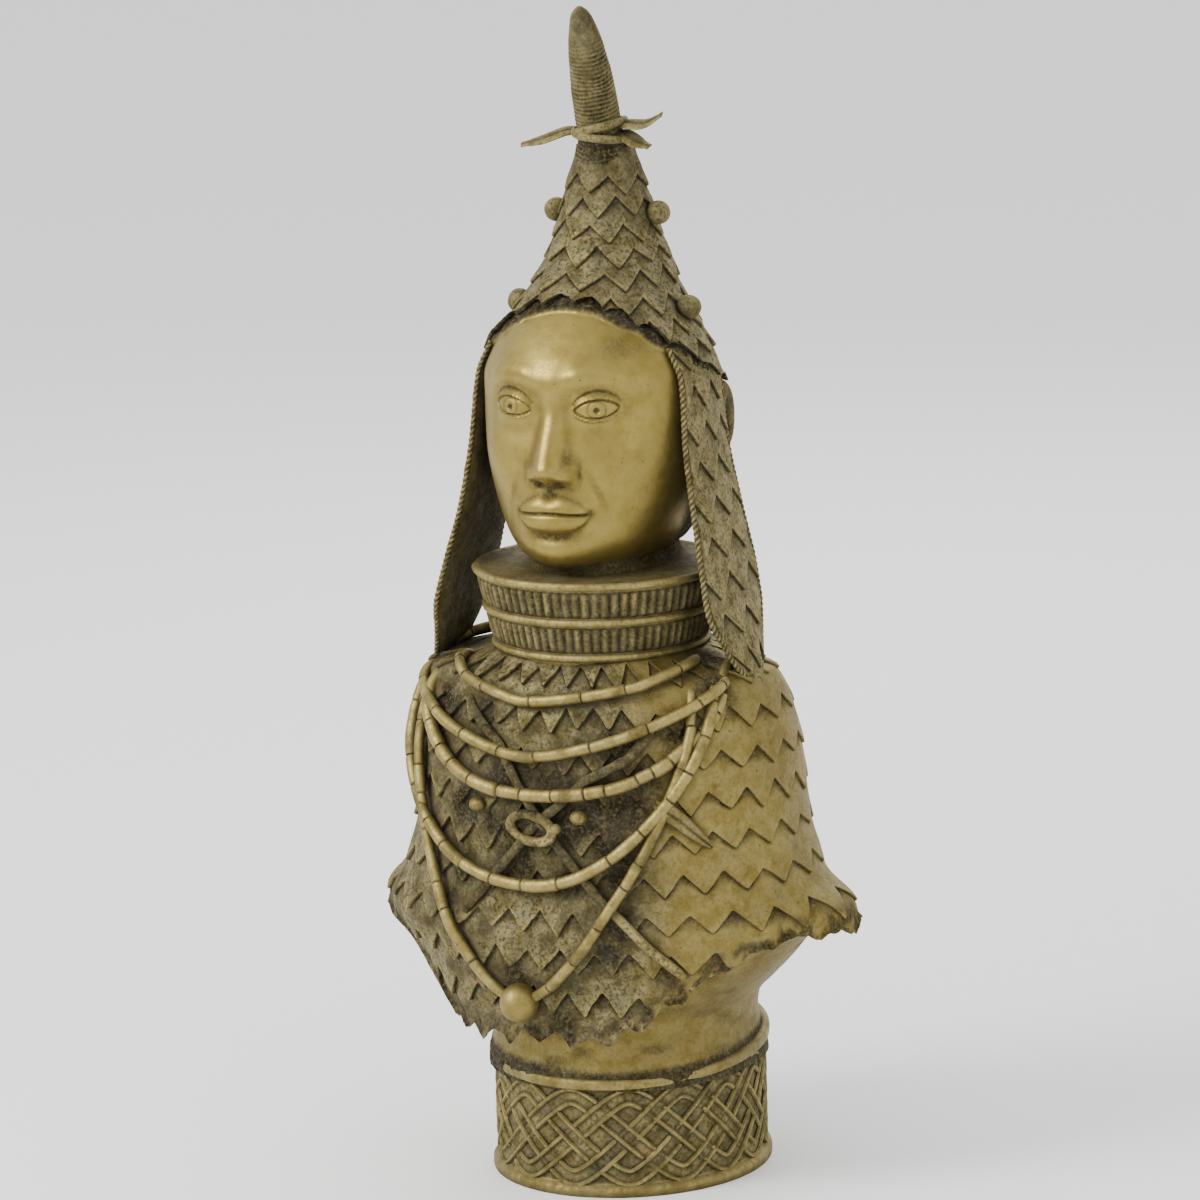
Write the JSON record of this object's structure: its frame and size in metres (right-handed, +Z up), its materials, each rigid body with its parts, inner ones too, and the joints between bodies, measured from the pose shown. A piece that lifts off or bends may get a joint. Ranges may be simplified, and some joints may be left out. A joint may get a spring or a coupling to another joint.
{
  "type": "bronze bust",
  "caption": "Cast bronze bust in scale regalia with bead strands, ribbed collar, scale cap and horn spike, on a round knotwork plinth.",
  "frame": {"origin": "centre of the plinth's flat underside", "axes": "+Z up along the bust, -Y the way the face looks, +X the figure's left"},
  "size_m": [0.2446, 0.1716, 0.5627],
  "materials": {
    "bronze": "golden cast bronze, smooth on the raised parts, dark brown and grey green in the recesses"
  },
  "bodies": {
    "root": {"bust": "bronze"}
  },
  "joints": []
}
